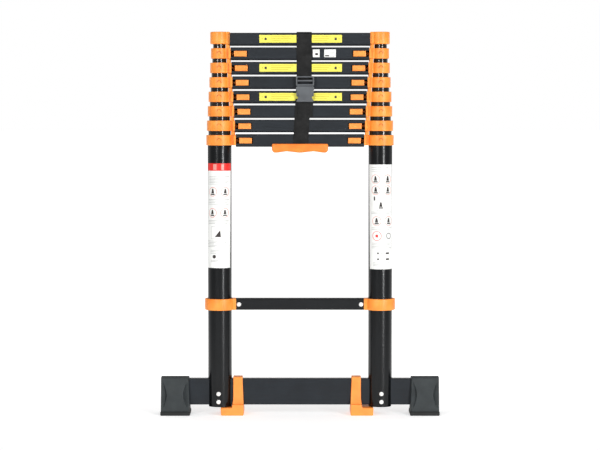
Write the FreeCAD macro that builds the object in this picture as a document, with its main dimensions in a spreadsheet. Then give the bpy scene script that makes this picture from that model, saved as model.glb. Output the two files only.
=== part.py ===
import FreeCAD, Part
import Sketcher
import os
from FreeCAD import Rotation, Vector

# Telescoping ladder, closed, standing on its floor bar. Millimetres, +Z up.
# The origin is on the floor, midway between the stiles. The front of the ladder faces -Y.
# Sections count from the bottom: section 1 has the widest tubes, section 8 the narrowest.

SECTIONS = 8
TOP = SECTIONS

SIZES = {
    # stiles
    "stile_spacing": 368,
    "outer_tube": 55,
    "tube_step": 3.8,
    "tube_wall": 1.4,
    "tube_foot": 19,
    "tube_tail": 60,
    # closed stack and how far it opens
    "stack_base": 614.8,
    "rung_pitch": 32.9,
    "open_spacing": 373,
    "slide_gap": 0.5,
    # rungs
    "rung_height": 28.9,
    "rung_depth": 40,
    "rung_wall": 2,
    "rung_edge": 3,
    "rung_under": 6,
    "tread_wall": 3,
    "groove_width": 2,
    "groove_deep": 0.8,
    "groove_pitch": 4,
    # collars
    "collar_lift": 3.5,
    "collar_height": 23.5,
    "collar_wall": 3,
    "collar_lip": 3,
    "neck_reach": 10.2,
    "neck_depth": 26,
    "flange_wall": 5,
    "mark_width": 10,
    "mark_proud": 0.5,
    "cap_wall": 6.5,
    "cap_roof": 4,
    "cap_height": 28,
    "cap_dome": 3,
    "tenon_length": 25,
    # latch: button, carriage, pin, spring and the cage that holds them
    "latch_rise": 14.45,
    "button_length": 29,
    "button_height": 12.8,
    "button_proud": 3,
    "button_gap": 7.8,
    "button_fit": 0.4,
    "button_edge": 1.5,
    "latch_in": 1.5,
    "carriage_start": 20,
    "carriage_length": 14,
    "carriage_depth": 22,
    "carriage_height": 10.6,
    "cage_length": 54,
    "cage_wall": 2.5,
    "cage_depth": 28,
    "pin_width": 8,
    "pin_fit": 0.4,
    "spring_width": 9,
    "spring_wire": 1.2,
    "spring_turns": 5,
    # middle rung and its collars
    "mid_base": 241.3,
    "mid_height": 26.2,
    "mid_depth": 34,
    "mid_collar_wall": 6.9,
    "mid_rivet_inset": 6.5,
    # floor bar
    "bar_base": 22.8,
    "bar_height": 59.8,
    "bar_depth": 25,
    "bar_wall": 2,
    "bar_edge": 2,
    "foot_end": 6,
    "plug_above": 3,
    # rubber end feet
    "foot_width": 68,
    "foot_inset": 1,
    "foot_centre": 286,
    "foot_height": 86,
    "foot_depth": 60,
    "foot_top_depth": 36,
    "sole_depth": 70,
    "sole_height": 9,
    "foot_edge": 3,
    # sliding lock feet
    "lock_leg": 21.5,
    "lock_leg_gap": 3,
    "lock_root": 3,
    "lock_toe_end": 2,
    "lock_toe_height": 18,
    "lock_toe_depth": 66,
    "lock_wall": 3.5,
    "lock_above": 5,
    "lock_fit": 0.4,
    "lock_slide": 13.5,
    "lock_edge": 3,
    # rivets
    "rivet_shank": 5,
    "rivet_head": 10,
    "rivet_dome": 3,
    "rivet_low": 31,
    "rivet_high": 49.5,
    "rivet_offset": 2.5,
    # carry grip under the lowest rung of the stack
    "grip_length": 130,
    "grip_depth": 51,
    "grip_below": 13.3,
    "grip_above": 7.3,
    "grip_fit": 0.3,
    "grip_edge": 5,
    "grip_rise": 4.5,
    "grip_channel": 46,
    "grip_channel_deep": 3.5,
    "screw_width": 5,
    "screw_head": 9,
    "screw_spread": 50,
    # strap and buckle
    "strap_width": 35,
    "strap_thick": 1.5,
    "strap_gap": 0.4,
    "strap_centre": 8,
    "buckle_centre": 11.4,
    "buckle_width": 41.5,
    "buckle_thick": 11,
    "buckle_base": 717,
    "housing_length": 36,
    "buckle_length": 58.5,
    "buckle_gap": 0.6,
    "prong_length": 25,
    "prong_width": 6,
    "prong_thick": 4,
    "frame_wall": 4,
}

doc = FreeCAD.newDocument("telescoping_ladder")
sheet = doc.addObject("Spreadsheet::Sheet", "Sizes")
for number, (alias, value) in enumerate(SIZES.items(), start=1):
    sheet.set(f"A{number}", alias.replace("_", " "))
    sheet.set(f"B{number}", str(value))
    sheet.setAlias(f"B{number}", alias)
doc.recompute()

nodes = []


def named(text):
    """An expression with each size's name pointing at its cell."""
    for alias in sorted(SIZES, key=len, reverse=True):
        text = text.replace("$" + alias, "Sizes." + alias)
    return text


def value_of(text):
    return float(sheet.evalExpression(named(text)))


def bind(thing, **properties):
    """Bind properties to expressions. The underscores in a property's name stand for dots."""
    for name, text in properties.items():
        thing.setExpression(name.replace("_", "."), named(str(text)))


def place(thing, x="0", y="0", z="0"):
    bind(thing, Placement_Base_x=x, Placement_Base_y=y, Placement_Base_z=z)
    return thing


def keep(thing, label):
    """Make this object a sub-part of the ladder, under its own name."""
    thing.Label = label
    nodes.append(thing)
    return thing


# ---- plain solids, cuts and joins ----


def box(x, y, z):
    """A box from three (low, high) pairs."""
    thing = doc.addObject("Part::Box", "Box")
    bind(
        thing,
        Length=f"({x[1]})-({x[0]})",
        Width=f"({y[1]})-({y[0]})",
        Height=f"({z[1]})-({z[0]})",
    )
    return place(thing, x[0], y[0], z[0])


def round_bar(axis, radius, start, end, at=("0", "0")):
    """A cylinder along X, Y or Z, from start to end. at holds its other two coordinates, in order."""
    thing = doc.addObject("Part::Cylinder", "Round")
    bind(thing, Radius=radius, Height=f"({end})-({start})")
    turns = {
        "X": Rotation(Vector(0, 1, 0), 90),
        "Y": Rotation(Vector(1, 0, 0), -90),
        "Z": Rotation(),
    }
    thing.Placement.Rotation = turns[axis]
    spots = {
        "X": (start, at[0], at[1]),
        "Y": (at[0], start, at[1]),
        "Z": (at[0], at[1], start),
    }
    return place(thing, *spots[axis])


def join(*things):
    thing = doc.addObject("Part::MultiFuse", "Join")
    thing.Shapes = list(things)
    return thing


def cut(base, *tools):
    thing = doc.addObject("Part::Cut", "Cut")
    thing.Base = base
    thing.Tool = tools[0] if len(tools) == 1 else join(*tools)
    return thing


def group(*things):
    """Separate solids kept in one sub-part."""
    thing = doc.addObject("Part::Compound", "Group")
    thing.Links = list(things)
    return thing


def mirrored(thing):
    """The same piece on the other side of the ladder's middle plane."""
    copy = doc.addObject("Part::Mirroring", "Mirror")
    copy.Source = thing
    copy.Normal = Vector(1, 0, 0)
    return copy


def pair(thing, label):
    return keep(group(thing, mirrored(thing)), label)


# ---- sketched solids ----


def new_body(name):
    body = doc.addObject("PartDesign::Body", name)
    body.AllowCompound = True
    return body


def sketch_on(body, role):
    sketch = body.newObject("Sketcher::SketchObject", "Sketch")
    plane = next(item for item in body.Origin.OriginFeatures if item.Role == role)
    sketch.AttachmentSupport = (plane, "")
    sketch.MapMode = "FlatFace"
    return sketch


def pin_point(sketch, item, end, x, y):
    """Fix one point of a sketch at a pair of expressions."""
    for kind, text, axis in (("DistanceX", x, -2), ("DistanceY", y, -1)):
        size = value_of(text)
        if abs(size) < 1e-9:
            sketch.addConstraint(Sketcher.Constraint("PointOnObject", item, end, axis))
            continue
        number = sketch.addConstraint(Sketcher.Constraint(kind, -1, 1, item, end, size))
        sketch.setExpression(f"Constraints[{number}]", named(text))


def outline(sketch, points):
    """A closed outline of straight lines through points given as pairs of expressions."""
    spots = [Vector(value_of(x), value_of(y), 0) for x, y in points]
    first = sketch.GeometryCount
    count = len(points)
    for number in range(count):
        after = spots[(number + 1) % count]
        sketch.addGeometry(Part.LineSegment(spots[number], after))
    for number in range(count):
        line = first + number
        after = first + (number + 1) % count
        sketch.addConstraint(Sketcher.Constraint("Coincident", line, 2, after, 1))
    for number, (x, y) in enumerate(points):
        pin_point(sketch, first + number, 1, x, y)


def rectangle(sketch, x, y):
    outline(sketch, [(x[0], y[0]), (x[1], y[0]), (x[1], y[1]), (x[0], y[1])])


def circle(sketch, x, y, radius):
    middle = Vector(value_of(x), value_of(y), 0)
    item = sketch.addGeometry(
        Part.Circle(middle, Vector(0, 0, 1), value_of(radius))
    )
    number = sketch.addConstraint(
        Sketcher.Constraint("Radius", item, value_of(radius))
    )
    sketch.setExpression(f"Constraints[{number}]", named(radius))
    pin_point(sketch, item, 3, x, y)


def pad(body, sketch, length, both=False):
    feature = body.newObject("PartDesign::Pad", "Pad")
    feature.Profile = sketch
    if both:
        feature.SideType = "Symmetric"
    bind(feature, Length=length)
    doc.recompute()
    return feature


def pocket(body, sketch, length, both=False, backwards=False):
    """Cut a sketch away. The volume has to go down, or the cut points off the solid."""
    before = body.Shape.Volume
    feature = body.newObject("PartDesign::Pocket", "Pocket")
    feature.Profile = sketch
    if both:
        feature.SideType = "Symmetric"
    feature.Reversed = backwards
    bind(feature, Length=length)
    doc.recompute()
    if feature.Shape.Volume >= before - 1e-6:
        raise RuntimeError(f"{body.Name}: {feature.Name} cuts nothing")
    return feature


def is_along(edge, direction):
    if edge.Curve.TypeId != "Part::GeomLine":
        return False
    return abs(abs(edge.Curve.Direction.dot(direction)) - 1) < 1e-6


def fillet(body, radius, choose):
    """Round the edges that choose picks."""
    feature = body.newObject("PartDesign::Fillet", "Fillet")
    base = body.Tip if body.Tip != feature else feature.BaseFeature
    names = [
        f"Edge{number}"
        for number, edge in enumerate(base.Shape.Edges, start=1)
        if choose(edge)
    ]
    feature.Base = (base, names)
    bind(feature, Radius=radius)
    body.Tip = feature
    doc.recompute()
    return feature


# ---- where things are, as expressions ----

STILE = "$stile_spacing/2"


def tube_radius(k):
    return f"($outer_tube/2 - {k - 1}*$tube_step/2)"


def section_base(k):
    return f"($stack_base + {k - 1}*$rung_pitch)"


def collar_base(k):
    return f"({section_base(k)} + $collar_lift)"


def latch_height(k):
    return f"({section_base(k)} + $latch_rise)"


def inner_face(k):
    """How far a collar's inner face is from its stile's axis."""
    return f"({tube_radius(k)} + $neck_reach)"


def rung_half(k):
    return f"({STILE} - {inner_face(k)})"


TRAVEL = "($open_spacing - $rung_pitch)"
BORE = "($pin_width/2 + $pin_fit)"


# ---- stiles ----


def tube_top(k):
    if k == TOP:
        return f"({collar_base(k)} + $cap_height - $cap_roof)"
    return f"({collar_base(k)} + $collar_height - $collar_lip)"


def tube_bottom(k):
    """A tube reaches a tail's length below the hole that its section locks by when it is open."""
    if k == 1:
        return "$tube_foot"
    return f"({latch_height(k - 1)} - {TRAVEL} - $tube_tail)"


def make_stiles(k):
    """Two straight round tubes, bored on their inner sides for the lock pins."""
    body = new_body(f"tube_{k}")
    ring = sketch_on(body, "XY_Plane")
    circle(ring, "0", "0", tube_radius(k))
    circle(ring, "0", "0", f"{tube_radius(k)} - $tube_wall")
    pad(body, ring, f"{tube_top(k)} - {tube_bottom(k)}")
    heights = []
    if k < TOP:
        heights.append(latch_height(k))
    if k > 1:
        heights.append(latch_height(k - 1))
        heights.append(f"{latch_height(k - 1)} - {TRAVEL}")
    holes = sketch_on(body, "YZ_Plane")
    for height in heights:
        circle(holes, "0", f"{height} - {tube_bottom(k)}", BORE)
    pocket(body, holes, "$outer_tube", backwards=True)
    if k == 1:
        slot = sketch_on(body, "YZ_Plane")
        rectangle(
            slot,
            ("-$bar_depth/2", "$bar_depth/2"),
            ("-1", "$bar_base + $bar_height - $tube_foot"),
        )
        pocket(body, slot, "2*$outer_tube", both=True)
        rivets = sketch_on(body, "XZ_Plane")
        for height in ("$rivet_low", "$rivet_high"):
            circle(
                rivets,
                "-$rivet_offset",
                f"{height} - $tube_foot",
                "$rivet_shank/2",
            )
        pocket(body, rivets, "2*$outer_tube", both=True)
    place(body, x=f"-{STILE}", z=tube_bottom(k))
    pair(body, f"stiles_{k}")


# ---- collars and caps ----


def make_collars(k):
    """A ring moulded round the top of a tube. Its neck carries the next collar, its lip guides the
    next tube, and a cage inside the rung's end holds the latch."""
    base = collar_base(k)
    face = inner_face(k)
    middle = f"-{STILE}"
    ring_radius = f"({tube_radius(k)} + $collar_wall)"
    ring_top = f"{base} + $collar_height"
    depth = ("-$neck_depth/2", "$neck_depth/2")
    ring = round_bar("Z", ring_radius, base, ring_top, (middle, "0"))
    web = box((middle, f"{middle} + {face}"), depth, (base, ring_top))
    neck = box(
        (
            f"{middle} + {tube_radius(k + 1)} + 2*$slide_gap",
            f"{middle} + {inner_face(k + 1)} - $slide_gap/2",
        ),
        depth,
        (base, f"{base} + $rung_pitch - $slide_gap/2"),
    )
    flange = box(
        (f"{middle} + {face} - $flange_wall", f"{middle} + {face}"),
        ("-$rung_depth/2", "$rung_depth/2"),
        (base, ring_top),
    )
    mark = round_bar(
        "Y",
        "$mark_width/2",
        f"-{ring_radius} - $mark_proud",
        "0",
        (middle, f"{base} + $collar_height/2"),
    )
    rung_low = section_base(k)
    cage = box(
        (f"{middle} + {face}", f"{middle} + {face} + $cage_length"),
        ("-$cage_depth/2", "$cage_depth/2"),
        (f"{rung_low} + $rung_wall", f"{rung_low} + $rung_height - $tread_wall"),
    )
    cage_room = box(
        (f"{middle} + {face}", f"{middle} + {face} + $cage_length - $cage_wall"),
        ("-$cage_depth", "$cage_depth"),
        (
            f"{rung_low} + $rung_wall + $cage_wall",
            f"{rung_low} + $rung_height - $tread_wall - $cage_wall",
        ),
    )
    latch = cut(cage, cage_room)
    seat = round_bar(
        "Z",
        tube_radius(k),
        f"{base} - 1",
        f"{ring_top} - $collar_lip",
        (middle, "0"),
    )
    guide = round_bar(
        "Z",
        f"{tube_radius(k + 1)} + $slide_gap",
        f"{base} - 1",
        f"{base} + 2*$rung_pitch",
        (middle, "0"),
    )
    bore = round_bar(
        "X", BORE, middle, f"{middle} + {face} + 1", ("0", latch_height(k))
    )
    collar = cut(join(ring, web, neck, flange, mark, latch), seat, guide, bore)
    pair(collar, f"collars_{k}")


def make_caps():
    """A closed cap on each end of the top rung, over the narrowest tube."""
    face = inner_face(TOP)
    radius = f"({tube_radius(TOP)} + $cap_wall)"
    body = new_body("cap")
    disc = sketch_on(body, "XY_Plane")
    circle(disc, "0", "0", radius)
    pad(body, disc, "$cap_height")
    neck = sketch_on(body, "XY_Plane")
    rectangle(neck, ("0", face), ("-$neck_depth/2", "$neck_depth/2"))
    pad(body, neck, "$cap_height")
    top = value_of("$cap_height")
    fillet(
        body,
        "$cap_dome",
        lambda edge: all(abs(v.Z - top) < 1e-6 for v in edge.Vertexes)
        and min(v.X for v in edge.Vertexes) < value_of(face) - 1,
    )
    tenon = sketch_on(body, "XY_Plane")
    rectangle(
        tenon,
        (f"{face} - 1", f"{face} + $tenon_length"),
        ("-$cage_depth/2", "$cage_depth/2"),
    )
    pad(body, tenon, "$rung_height - $collar_lift - $tread_wall")
    seat = sketch_on(body, "XY_Plane")
    circle(seat, "0", "0", tube_radius(TOP))
    pocket(body, seat, "$cap_height - $cap_roof", backwards=True)
    place(body, x=f"-{STILE}", z=collar_base(TOP))
    pair(body, "top_caps")


# ---- rungs ----


def rung_body(name, half, height, depth):
    """A hollow extrusion with rounded long edges, its underside at Z 0 and its axis along X."""
    body = new_body(name)
    section = sketch_on(body, "YZ_Plane")
    rectangle(section, (f"-{depth}/2", f"{depth}/2"), ("0", height))
    pad(body, section, f"2*{half}", both=True)
    along = Vector(1, 0, 0)
    middle = value_of(f"{height}/2")
    floor = value_of("$rung_wall")
    fillet(
        body,
        "$rung_edge",
        lambda edge: is_along(edge, along) and edge.Vertexes[0].Z > middle,
    )
    fillet(
        body,
        "$rung_under",
        lambda edge: is_along(edge, along) and edge.Vertexes[0].Z < 1e-6,
    )
    room = sketch_on(body, "YZ_Plane")
    rectangle(
        room,
        (f"-{depth}/2 + $rung_wall", f"{depth}/2 - $rung_wall"),
        ("$rung_wall", f"{height} - $tread_wall"),
    )
    pocket(body, room, f"2*{half} + 2", both=True)
    side = value_of(f"{depth}/2 - $rung_wall")
    fillet(
        body,
        "$rung_under - $rung_wall",
        lambda edge: is_along(edge, along)
        and abs(edge.Vertexes[0].Z - floor) < 1e-6
        and abs(abs(edge.Vertexes[0].Y) - side) < 1e-6,
    )
    return body


def tread_grooves(body, half, height):
    """Lengthwise grip grooves in the rung's top, spread evenly each side of its middle."""
    sketch = sketch_on(body, "YZ_Plane")
    for step in range(-3, 4):
        centre = f"{step}*$groove_pitch"
        rectangle(
            sketch,
            (f"{centre} - $groove_width/2", f"{centre} + $groove_width/2"),
            (f"{height} - $groove_deep", f"{height} + 1"),
        )
    pocket(body, sketch, f"2*{half} + 2", both=True)


def make_rung(k):
    half = rung_half(k)
    body = rung_body(f"rung_{k}", half, "$rung_height", "$rung_depth")
    tread_grooves(body, half, "$rung_height")
    if k < TOP:
        notch = sketch_on(body, "XZ_Plane")
        reach = "($button_gap + $button_length + $latch_in + $button_fit)"
        low = "$latch_rise - $button_height/2 - $button_fit"
        high = "$latch_rise + $button_height/2 + $button_fit"
        rectangle(notch, (f"-{half} - 1", f"-{half} + {reach}"), (low, high))
        rectangle(notch, (f"{half} - {reach}", f"{half} + 1"), (low, high))
        pocket(body, notch, "$rung_depth", backwards=True)
    if k == 1:
        holes = sketch_on(body, "XY_Plane")
        for side in ("-", ""):
            circle(holes, f"{side}$screw_spread", "0", "$screw_width/2")
        pocket(body, holes, "$rung_wall + 1", backwards=True)
    place(body, z=section_base(k))
    keep(body, f"rung_{k}")


# ---- latches ----


def make_release(k, side):
    """A thumb button in the rung's front notch, its carriage inside the rung, and the lock pin
    pressed into the carriage. The pin bears on the next tube until a hole comes level with it."""
    face = inner_face(k)
    height = latch_height(k)
    start = f"({face} + $button_gap)"
    body = new_body(f"button_{k}_{side}")
    pad_sketch = sketch_on(body, "XZ_Plane")
    rectangle(
        pad_sketch,
        (start, f"{start} + $button_length"),
        ("-$button_height/2", "$button_height/2"),
    )
    bind(pad_sketch, AttachmentOffset_Base_z="$rung_depth/2 - $rung_wall")
    pad(body, pad_sketch, "$rung_wall + $button_proud")
    front = value_of("-$rung_depth/2 - $button_proud")
    fillet(
        body,
        "$button_edge",
        lambda edge: all(abs(v.Y - front) < 1e-6 for v in edge.Vertexes),
    )
    block = sketch_on(body, "XZ_Plane")
    rectangle(
        block,
        (
            f"{face} + $carriage_start",
            f"{face} + $carriage_start + $carriage_length",
        ),
        ("-$carriage_height/2", "$carriage_height/2"),
    )
    bind(block, AttachmentOffset_Base_z="-$carriage_depth/2")
    pad(body, block, "$carriage_depth/2 + $rung_depth/2 - $rung_wall")
    seat = sketch_on(body, "YZ_Plane")
    circle(seat, "0", "0", "$pin_width/2")
    pocket(
        body,
        seat,
        f"{face} + $carriage_start + $carriage_length - 3",
        backwards=True,
    )
    place(body, x=f"-{STILE}", z=height)
    tip = f"({tube_radius(k + 1)} + $slide_gap)"
    lock_pin = round_bar(
        "X",
        "$pin_width/2",
        f"-{STILE} + {tip}",
        f"-{STILE} + {face} + $carriage_start + $carriage_length - 3",
        ("0", height),
    )
    latch = group(body, lock_pin)
    if side == "right":
        latch = mirrored(latch)
    keep(latch, f"release_{k}_{side}")


def make_springs(k):
    """Two compression springs, each between a carriage and the end wall of its cage."""
    start = value_of(
        f"-{STILE} + {inner_face(k)} + $carriage_start + $carriage_length"
    )
    end = value_of(f"-{STILE} + {inner_face(k)} + $cage_length - $cage_wall")
    wire = value_of("$spring_wire")
    radius = value_of("($spring_width - $spring_wire)/2")
    turns = value_of("$spring_turns")
    length = end - start - wire - 2 * value_of("$pin_fit")
    path = Part.makeHelix(length / turns, length, radius)
    section = Part.Wire(
        [Part.makeCircle(wire / 2, Vector(radius, 0, 0), Vector(0, 1, 0))]
    )
    coil = Part.Wire(path.Edges).makePipeShell([section], True, True)
    spring = doc.addObject("Part::Feature", "Spring")
    spring.Shape = coil
    spring.Placement = FreeCAD.Placement(
        Vector(start + wire / 2 + value_of("$pin_fit"), 0, value_of(latch_height(k))),
        Rotation(Vector(0, 1, 0), 90),
    )
    pair(spring, f"lock_springs_{k}")


# ---- middle rung ----


def make_mid_rung():
    half = rung_half(1)
    body = rung_body("mid_rung", half, "$mid_height", "$mid_depth")
    tread_grooves(body, half, "$mid_height")
    holes = sketch_on(body, "XZ_Plane")
    for side in ("-", ""):
        circle(
            holes,
            f"{side}({half} - $mid_rivet_inset)",
            "$mid_height/2",
            "$rivet_shank/2",
        )
    pocket(body, holes, "2*$mid_depth", both=True)
    place(body, z="$mid_base")
    keep(body, "mid_rung")


def make_mid_collars():
    """A plain ring pressed on the outer tube, with a tenon riveted inside the middle rung."""
    middle = f"-{STILE}"
    face = inner_face(1)
    top = "$mid_base + $mid_height"
    ring = round_bar(
        "Z",
        f"{tube_radius(1)} + $mid_collar_wall",
        "$mid_base",
        top,
        (middle, "0"),
    )
    neck = box(
        (middle, f"{middle} + {face}"),
        ("-$mid_depth/2", "$mid_depth/2"),
        ("$mid_base", top),
    )
    tenon = box(
        (f"{middle} + {face} - 1", f"{middle} + {face} + $tenon_length"),
        ("-$mid_depth/2 + $rung_under", "$mid_depth/2 - $rung_under"),
        ("$mid_base + $rung_wall", f"{top} - $tread_wall"),
    )
    seat = round_bar("Z", tube_radius(1), "$mid_base - 1", f"{top} + 1", (middle, "0"))
    hole = round_bar(
        "Y",
        "$rivet_shank/2",
        "-$mid_depth",
        "$mid_depth",
        (f"{middle} + {face} + $mid_rivet_inset", "$mid_base + $mid_height/2"),
    )
    pair(cut(join(ring, neck, tenon), seat, hole), "mid_collars")


# ---- rivets and screws ----


def rivet(x, z, face, dome_face):
    """A rivet right through along Y, with a domed head on each side. Each dome is turned about the
    rivet's axis, and its rim is set at face so that it closes on a round tube too."""
    body = new_body("rivet")
    section = sketch_on(body, "XY_Plane")
    outline(
        section,
        [
            ("0", f"-{dome_face} - $rivet_dome"),
            ("$rivet_head/4", f"-{dome_face} - $rivet_dome*0.86"),
            ("$rivet_head*0.42", f"-{dome_face} - $rivet_dome*0.45"),
            ("$rivet_head/2", f"-{dome_face}"),
            ("$rivet_shank/2", f"-{dome_face}"),
            ("$rivet_shank/2", dome_face),
            ("$rivet_head/2", dome_face),
            ("$rivet_head*0.42", f"{dome_face} + $rivet_dome*0.45"),
            ("$rivet_head/4", f"{dome_face} + $rivet_dome*0.86"),
            ("0", f"{dome_face} + $rivet_dome"),
        ],
    )
    turn = body.newObject("PartDesign::Revolution", "Turn")
    turn.Profile = section
    turn.ReferenceAxis = (section, ["V_Axis"])
    turn.Angle = 360
    doc.recompute()
    place(body, x=x, z=z)
    return body


def make_rivets():
    face = "($outer_tube/2)"
    stile_rivets = []
    for height in ("$rivet_low", "$rivet_high"):
        stile_rivets.append(
            rivet(f"-{STILE} - $rivet_offset", height, face, face)
        )
    rivets = group(*stile_rivets)
    pair(rivets, "bar_rivets")
    mid = rivet(
        f"-{rung_half(1)} + $mid_rivet_inset",
        "$mid_base + $mid_height/2",
        "($mid_depth/2)",
        "($mid_depth/2)",
    )
    pair(mid, "mid_rung_rivets")


# ---- floor bar ----


def bar_length():
    return "2*($foot_centre + $foot_width/2 - $foot_end)"


def make_bar():
    body = new_body("bar")
    section = sketch_on(body, "YZ_Plane")
    rectangle(section, ("-$bar_depth/2", "$bar_depth/2"), ("0", "$bar_height"))
    pad(body, section, bar_length(), both=True)
    along = Vector(1, 0, 0)
    fillet(body, "$bar_edge", lambda edge: is_along(edge, along))
    room = sketch_on(body, "YZ_Plane")
    rectangle(
        room,
        ("-$bar_depth/2 + $bar_wall", "$bar_depth/2 - $bar_wall"),
        ("$bar_wall", "$bar_height - $bar_wall"),
    )
    pocket(body, room, f"{bar_length()} + 2", both=True)
    holes = sketch_on(body, "XZ_Plane")
    for side in ("-", ""):
        for height in ("$rivet_low", "$rivet_high"):
            circle(
                holes,
                f"{side}({STILE} + $rivet_offset)",
                f"{height} - $bar_base",
                "$rivet_shank/2",
            )
    pocket(body, holes, "2*$bar_depth", both=True)
    place(body, z="$bar_base")
    keep(body, "base_bar")


def make_plugs():
    """A moulded plug in the foot of each outer tube, with a leg each side of the bar."""
    middle = f"-{STILE}"
    top = "$bar_base + $bar_height + $plug_above"
    core = round_bar(
        "Z",
        f"{tube_radius(1)} - $tube_wall",
        "$tube_foot",
        top,
        (middle, "0"),
    )
    room = box(
        (f"{middle} - $outer_tube", f"{middle} + $outer_tube"),
        ("-$bar_depth/2", "$bar_depth/2"),
        ("$bar_base", f"{top} + 1"),
    )
    holes = [
        round_bar(
            "Y",
            "$rivet_shank/2",
            "-$outer_tube",
            "$outer_tube",
            (f"{middle} - $rivet_offset", height),
        )
        for height in ("$rivet_low", "$rivet_high")
    ]
    pair(cut(core, room, *holes), "stile_plugs")


def make_foot(side):
    """A rubber boot pushed over the end of the bar, deeper at the sole, with a ribbed tread."""
    body = new_body(f"foot_{side}")
    profile = sketch_on(body, "YZ_Plane")
    outline(
        profile,
        [
            ("-$foot_depth/2", "0"),
            ("$foot_depth/2", "0"),
            ("$foot_top_depth/2", "$foot_height"),
            ("-$foot_top_depth/2", "$foot_height"),
        ],
    )
    pad(body, profile, "$foot_width - 2*$foot_inset", both=True)
    sole = sketch_on(body, "XY_Plane")
    rectangle(
        sole,
        ("-$foot_width/2", "$foot_width/2"),
        ("-$sole_depth/2", "$sole_depth/2"),
    )
    pad(body, sole, "$sole_height")
    up = Vector(0, 0, 1)
    fillet(
        body,
        "$foot_edge",
        lambda edge: edge.Curve.TypeId == "Part::GeomLine"
        and abs(edge.Curve.Direction.dot(up)) > 0.9,
    )
    inner = "-1" if side == "right" else "1"
    room = sketch_on(body, "YZ_Plane")
    rectangle(
        room,
        ("-$bar_depth/2", "$bar_depth/2"),
        ("$bar_base", "$bar_base + $bar_height"),
    )
    bind(room, AttachmentOffset_Base_z=f"-1*({inner})*($foot_width/2 - $foot_end)")
    pocket(body, room, "2*$foot_width", backwards=side == "left")
    ribs = sketch_on(body, "XZ_Plane")
    for step in range(-2, 3):
        centre = f"{step}*$foot_width/6"
        rectangle(ribs, (f"{centre} - 1.5", f"{centre} + 1.5"), ("-1", "1.5"))
    pocket(body, ribs, "2*$sole_depth", both=True)
    sign = "" if side == "right" else "-"
    place(body, x=f"{sign}$foot_centre")
    keep(body, f"bar_foot_{side}")


def make_lock(side):
    """A moulded sleeve that slides along the bar. Home, its toe is under the end of the stile."""
    body = new_body(f"lock_{side}")
    bar_top = "($bar_base + $bar_height)"
    leg_start = "($outer_tube/2 + $lock_leg_gap)"
    leg_end = f"({leg_start} + $lock_leg)"
    leg = sketch_on(body, "XZ_Plane")
    outline(
        leg,
        [
            (f"{leg_start} - $lock_root + 1", "$lock_toe_height - 1"),
            (f"{leg_end} + $lock_root", "$lock_toe_height - 1"),
            (leg_end, f"{bar_top} + $lock_above"),
            (leg_start, f"{bar_top} + $lock_above"),
        ],
    )
    pad(body, leg, "$bar_depth + 2*$lock_fit + 2*$lock_wall", both=True)
    toe = sketch_on(body, "XZ_Plane")
    rectangle(toe, ("$lock_toe_end", f"{leg_end} + $lock_root"), ("0", "$lock_toe_height"))
    pad(body, toe, "$lock_toe_depth", both=True)
    deep = Vector(0, 1, 0)
    high = value_of("$lock_toe_height")
    fillet(
        body,
        "$lock_edge",
        lambda edge: is_along(edge, deep)
        and (edge.Vertexes[0].Z < 1e-6 or edge.Vertexes[0].Z > high + 1),
    )
    room = sketch_on(body, "YZ_Plane")
    rectangle(
        room,
        ("-$bar_depth/2 - $lock_fit", "$bar_depth/2 + $lock_fit"),
        ("$bar_base - $lock_fit", f"{bar_top} + $lock_fit"),
    )
    pocket(body, room, "4*$lock_toe_depth", both=True)
    if side == "left":
        keep(place(body, x=f"-{STILE}"), "bar_lock_left")
    else:
        place(body, x=f"-{STILE} + $lock_slide")
        keep(mirrored(body), "bar_lock_right")


# ---- carry grip ----


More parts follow.
